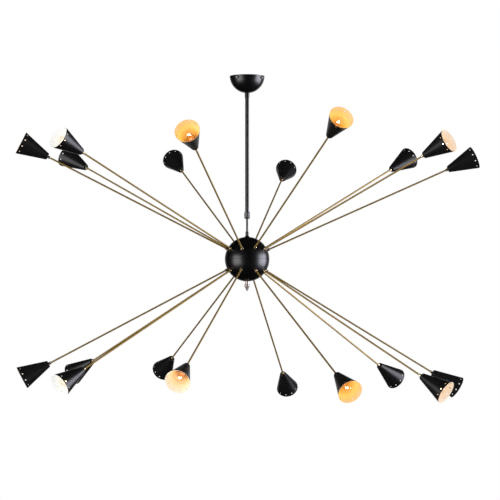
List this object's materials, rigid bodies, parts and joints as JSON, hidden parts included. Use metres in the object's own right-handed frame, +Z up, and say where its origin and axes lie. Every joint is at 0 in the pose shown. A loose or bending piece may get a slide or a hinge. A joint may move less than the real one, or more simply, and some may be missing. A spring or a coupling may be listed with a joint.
{
  "type": "sputnik chandelier",
  "caption": "Ceiling light with cone shades on straight arms that spread in two rings from a ball hub, hung on a telescopic stem under a dome canopy.",
  "frame": {"origin": "middle of the ceiling bracket's top face, on the ceiling and on the stem's axis", "axes": "+Z up into the ceiling, -Y towards the front as pictured, +X to the viewer's right"},
  "size_m": [1.586, 1.568, 1.1267],
  "materials": {
    "black_paint": "satin black powder coat on steel; the shades are white enamel inside",
    "aged_brass": "brushed antique brass",
    "polished_metal": "polished, lacquered brass",
    "collar_metal": "dark grey satin, knurled",
    "zinc_steel": "zinc plated",
    "nylon": "matt nylon",
    "holder_plastic": "matt black moulded plastic",
    "clear_glass": "clear glass bulb on a nickel cap",
    "cable_pvc": "PVC sheath"
  },
  "bodies": {
    "ceiling_mount": {"ceiling_bracket": "zinc_steel", "canopy_dome": "black_paint", "canopy_screws": "polished_metal", "canopy_lock_nut": "zinc_steel", "terminal_block": "nylon", "stem_cable": "cable_pvc", "stem_outer_tube": "black_paint"},
    "lock_collar": {"stem_lock_collar": "collar_metal"},
    "collet": {"stem_collet": "nylon"},
    "light_head": {"arm_ferrules": "aged_brass", "arm_lower_01": "aged_brass", "arm_lower_02": "aged_brass", "arm_lower_03": "aged_brass", "arm_lower_04": "aged_brass", "arm_lower_05": "aged_brass", "arm_lower_06": "aged_brass", "arm_lower_07": "aged_brass", "arm_lower_08": "aged_brass", "arm_lower_09": "aged_brass", "arm_lower_10": "aged_brass", "arm_upper_01": "aged_brass", "arm_upper_02": "aged_brass", "arm_upper_03": "aged_brass", "arm_upper_04": "aged_brass", "arm_upper_05": "aged_brass", "arm_upper_06": "aged_brass", "arm_upper_07": "aged_brass", "arm_upper_08": "aged_brass", "arm_upper_09": "aged_brass", "arm_upper_10": "aged_brass", "bulbs": "clear_glass", "finial": "polished_metal", "hub_centre_rod": "zinc_steel", "hub_coupling": "black_paint", "hub_lock_nuts": "zinc_steel", "hub_lower_shell": "black_paint", "hub_upper_shell": "black_paint", "lampholders": "holder_plastic", "shade_lower_01": "black_paint", "shade_lower_02": "black_paint", "shade_lower_03": "black_paint", "shade_lower_04": "black_paint", "shade_lower_05": "black_paint", "shade_lower_06": "black_paint", "shade_lower_07": "black_paint", "shade_lower_08": "black_paint", "shade_lower_09": "black_paint", "shade_lower_10": "black_paint", "shade_upper_01": "black_paint", "shade_upper_02": "black_paint", "shade_upper_03": "black_paint", "shade_upper_04": "black_paint", "shade_upper_05": "black_paint", "shade_upper_06": "black_paint", "shade_upper_07": "black_paint", "shade_upper_08": "black_paint", "shade_upper_09": "black_paint", "shade_upper_10": "black_paint", "stem_inner_tube": "black_paint", "wiring_harness": "cable_pvc"}
  },
  "joints": [
    {"name": "lock_collar_turn", "type": "hinge", "parent": "ceiling_mount", "child": "lock_collar", "pos_m": [0, 0, -0.48], "axis": [0, 0, -1], "range_deg": [0, 180]},
    {"name": "stem_turn", "type": "hinge", "parent": "ceiling_mount", "child": "collet", "pos_m": [0, 0, -0.492], "axis": [0, 0, 1], "range_deg": [-170, 170]},
    {"name": "stem_slide", "type": "slide", "parent": "collet", "child": "light_head", "axis": [0, 0, -1], "range_m": [-0.0426, 0.3]}
  ]
}
